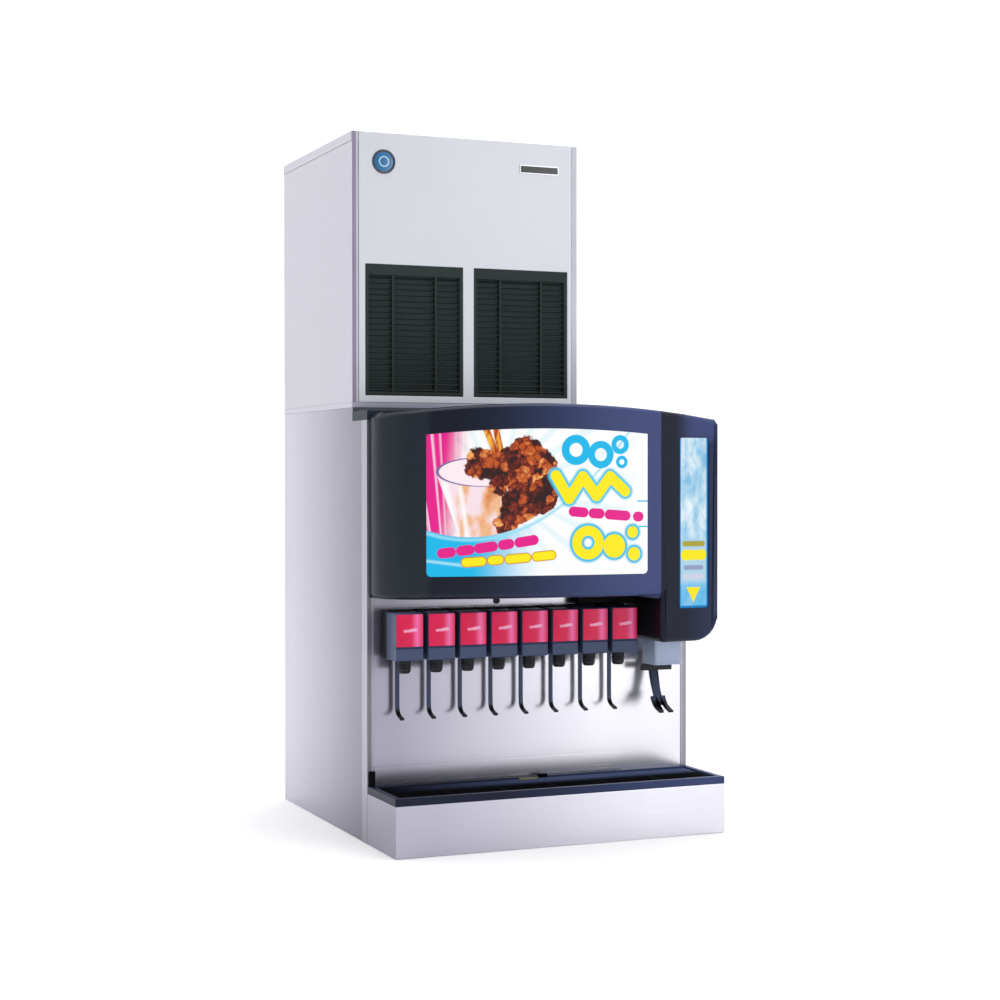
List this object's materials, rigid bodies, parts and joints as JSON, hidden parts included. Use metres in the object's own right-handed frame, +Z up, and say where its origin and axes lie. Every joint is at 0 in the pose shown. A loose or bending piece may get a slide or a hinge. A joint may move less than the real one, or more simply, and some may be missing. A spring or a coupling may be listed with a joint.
{
  "type": "fountain drink and ice dispenser",
  "caption": "Counter-top drink dispenser with a row of lever valves, a lever ice chute, a lit arched bonnet and a drip tray, with a modular ice machine standing on its deck.",
  "frame": {"origin": "centre of the footprint at the level of the surface it stands on; the footprint includes the drip tray", "axes": "+X to the right as the user faces the valves, +Y from the drip tray towards the back, +Z up"},
  "size_m": [0.782, 0.812, 1.562],
  "materials": {
    "panel_steel": "satin",
    "stainless": "brushed",
    "trim_steel": "brushed",
    "hidden_steel": "galvanised",
    "dark_base": "satin",
    "machine_panel": "satin",
    "machine_band": "satin",
    "bonnet_plastic": "fine texture",
    "graphic_main": "lit film",
    "graphic_ice": "lit film",
    "light_white": "lit",
    "valve_plastic": "satin",
    "label_card": "gloss",
    "nozzle_black": "gloss",
    "block_black": "matte",
    "lever_plastic": "satin",
    "pin_steel": "bright",
    "chute_plastic": "translucent",
    "liner_white": "smooth",
    "cast_alloy": "as cast",
    "white_plastic": "smooth",
    "tray_black": "satin",
    "grille_black": "matte",
    "lid_plastic": "satin",
    "pipe_plastic": "smooth",
    "fitting_steel": "bright",
    "gland_black": "matte",
    "lock_metal": "bright",
    "badge_blue": "gloss",
    "plate_black": "gloss",
    "compressor_black": "satin",
    "condenser_fins": "fins",
    "fan_black": "matte",
    "motor_grey": "satin",
    "evaporator_steel": "insulated",
    "auger_steel": "bright",
    "box_steel": "satin"
  },
  "bodies": {
    "cabinet": {"cabinet_base": "dark_base", "cabinet_side_left": "panel_steel", "cabinet_side_right": "panel_steel", "cabinet_rear": "hidden_steel", "cabinet_front": "trim_steel", "cabinet_deck": "dark_base", "ice_hopper": "liner_white", "cold_plate": "cast_alloy", "agitator_motor": "motor_grey", "bonnet": "bonnet_plastic", "main_graphic": "graphic_main", "ice_graphic": "graphic_ice", "light_panels": "light_white", "splash_plate": "stainless", "corner_trims": "trim_steel", "valve_housings": "valve_plastic", "valve_labels": "label_card", "mounting_blocks": "block_black", "nozzles": "nozzle_black", "lever_pins": "pin_steel", "ice_chute": "chute_plastic", "drip_tray": "stainless", "tray_basin": "tray_black", "drain_pipe": "pipe_plastic", "service_inlets": "fitting_steel", "power_glands": "gland_black", "machine_base": "machine_band", "machine_side_left": "machine_panel", "machine_side_right": "machine_panel", "machine_rear": "hidden_steel", "machine_top": "machine_panel", "machine_front": "machine_panel", "round_badge": "badge_blue", "name_plate": "plate_black", "compressor": "compressor_black", "condenser": "condenser_fins", "fan_motor": "motor_grey", "evaporator": "evaporator_steel", "gear_motor": "motor_grey", "control_box": "box_steel", "water_reservoir": "liner_white", "ice_spout": "white_plastic"},
    "agitator_wheel": {"agitator": "white_plastic"},
    "gate": {"ice_gate": "white_plastic"},
    "ice_paddle": {"ice_lever": "lever_plastic"},
    "fan_rotor": {"fan": "fan_black"},
    "auger_screw": {"auger": "auger_steel"},
    "lid": {"hopper_lid": "lid_plastic"},
    "rest": {"cup_rest": "tray_black"},
    "filter_left": {"grille_left": "grille_black"},
    "filter_right": {"grille_right": "grille_black"},
    "lock": {"key_lock": "lock_metal"},
    "cup_lever_1": {"lever_1": "lever_plastic"},
    "cup_lever_2": {"lever_2": "lever_plastic"},
    "cup_lever_3": {"lever_3": "lever_plastic"},
    "cup_lever_4": {"lever_4": "lever_plastic"},
    "cup_lever_5": {"lever_5": "lever_plastic"},
    "cup_lever_6": {"lever_6": "lever_plastic"},
    "cup_lever_7": {"lever_7": "lever_plastic"},
    "cup_lever_8": {"lever_8": "lever_plastic"}
  },
  "joints": [
    {"name": "lever_1_push", "type": "hinge", "parent": "cabinet", "child": "cup_lever_1", "pos_m": [-0.329, -0.244, 0.413], "axis": [1, 0, 0], "range_deg": [0, 7], "stiffness_Nm_per_rad": 0.25, "springref_deg": -2.86},
    {"name": "lever_2_push", "type": "hinge", "parent": "cabinet", "child": "cup_lever_2", "pos_m": [-0.256, -0.244, 0.413], "axis": [1, 0, 0], "range_deg": [0, 7], "stiffness_Nm_per_rad": 0.25, "springref_deg": -2.86},
    {"name": "lever_3_push", "type": "hinge", "parent": "cabinet", "child": "cup_lever_3", "pos_m": [-0.183, -0.244, 0.413], "axis": [1, 0, 0], "range_deg": [0, 7], "stiffness_Nm_per_rad": 0.25, "springref_deg": -2.86},
    {"name": "lever_4_push", "type": "hinge", "parent": "cabinet", "child": "cup_lever_4", "pos_m": [-0.11, -0.244, 0.413], "axis": [1, 0, 0], "range_deg": [0, 7], "stiffness_Nm_per_rad": 0.25, "springref_deg": -2.86},
    {"name": "lever_5_push", "type": "hinge", "parent": "cabinet", "child": "cup_lever_5", "pos_m": [-0.037, -0.244, 0.413], "axis": [1, 0, 0], "range_deg": [0, 7], "stiffness_Nm_per_rad": 0.25, "springref_deg": -2.86},
    {"name": "lever_6_push", "type": "hinge", "parent": "cabinet", "child": "cup_lever_6", "pos_m": [0.036, -0.244, 0.413], "axis": [1, 0, 0], "range_deg": [0, 7], "stiffness_Nm_per_rad": 0.25, "springref_deg": -2.86},
    {"name": "lever_7_push", "type": "hinge", "parent": "cabinet", "child": "cup_lever_7", "pos_m": [0.109, -0.244, 0.413], "axis": [1, 0, 0], "range_deg": [0, 7], "stiffness_Nm_per_rad": 0.25, "springref_deg": -2.86},
    {"name": "lever_8_push", "type": "hinge", "parent": "cabinet", "child": "cup_lever_8", "pos_m": [0.182, -0.244, 0.413], "axis": [1, 0, 0], "range_deg": [0, 7], "stiffness_Nm_per_rad": 0.25, "springref_deg": -2.86},
    {"name": "ice_lever_push", "type": "hinge", "parent": "cabinet", "child": "ice_paddle", "pos_m": [0.287, -0.254, 0.384], "axis": [1, 0, 0], "range_deg": [0, 12], "stiffness_Nm_per_rad": 0.8, "springref_deg": -8.59},
    {"name": "gate_swing", "type": "hinge", "parent": "cabinet", "child": "gate", "pos_m": [0.287, -0.2295, 0.694], "axis": [-1, 0, 0], "range_deg": [0, 42]},
    {"name": "agitator_spin", "type": "hinge", "parent": "cabinet", "child": "agitator_wheel", "pos_m": [0.17, -0.15, 0.735], "axis": [0, 1, 0], "continuous": true},
    {"name": "fan_spin", "type": "hinge", "parent": "cabinet", "child": "fan_rotor", "pos_m": [0.02, -0.03, 1.122], "axis": [0, 1, 0], "continuous": true},
    {"name": "auger_spin", "type": "hinge", "parent": "cabinet", "child": "auger_screw", "pos_m": [-0.23, 0.06, 1.2], "axis": [0, 0, 1], "continuous": true},
    {"name": "lid_lift", "type": "slide", "parent": "cabinet", "child": "lid", "axis": [0, 0, 1], "range_m": [0, 0.05]},
    {"name": "cup_rest_lift", "type": "slide", "parent": "cabinet", "child": "rest", "axis": [0, 0, 1], "range_m": [0, 0.05]},
    {"name": "filter_left_pull", "type": "slide", "parent": "cabinet", "child": "filter_left", "axis": [0, -1, 0], "range_m": [0, 0.06]},
    {"name": "filter_right_pull", "type": "slide", "parent": "cabinet", "child": "filter_right", "axis": [0, -1, 0], "range_m": [0, 0.06]},
    {"name": "lock_turn", "type": "hinge", "parent": "cabinet", "child": "lock", "pos_m": [-0.087, -0.22, 0.521], "axis": [0, -1, 0], "range_deg": [0, 90]}
  ],
  "couplings": [
    {"joint": "gate_swing", "follows": "ice_lever_push", "ratio": 3.3333}
  ]
}
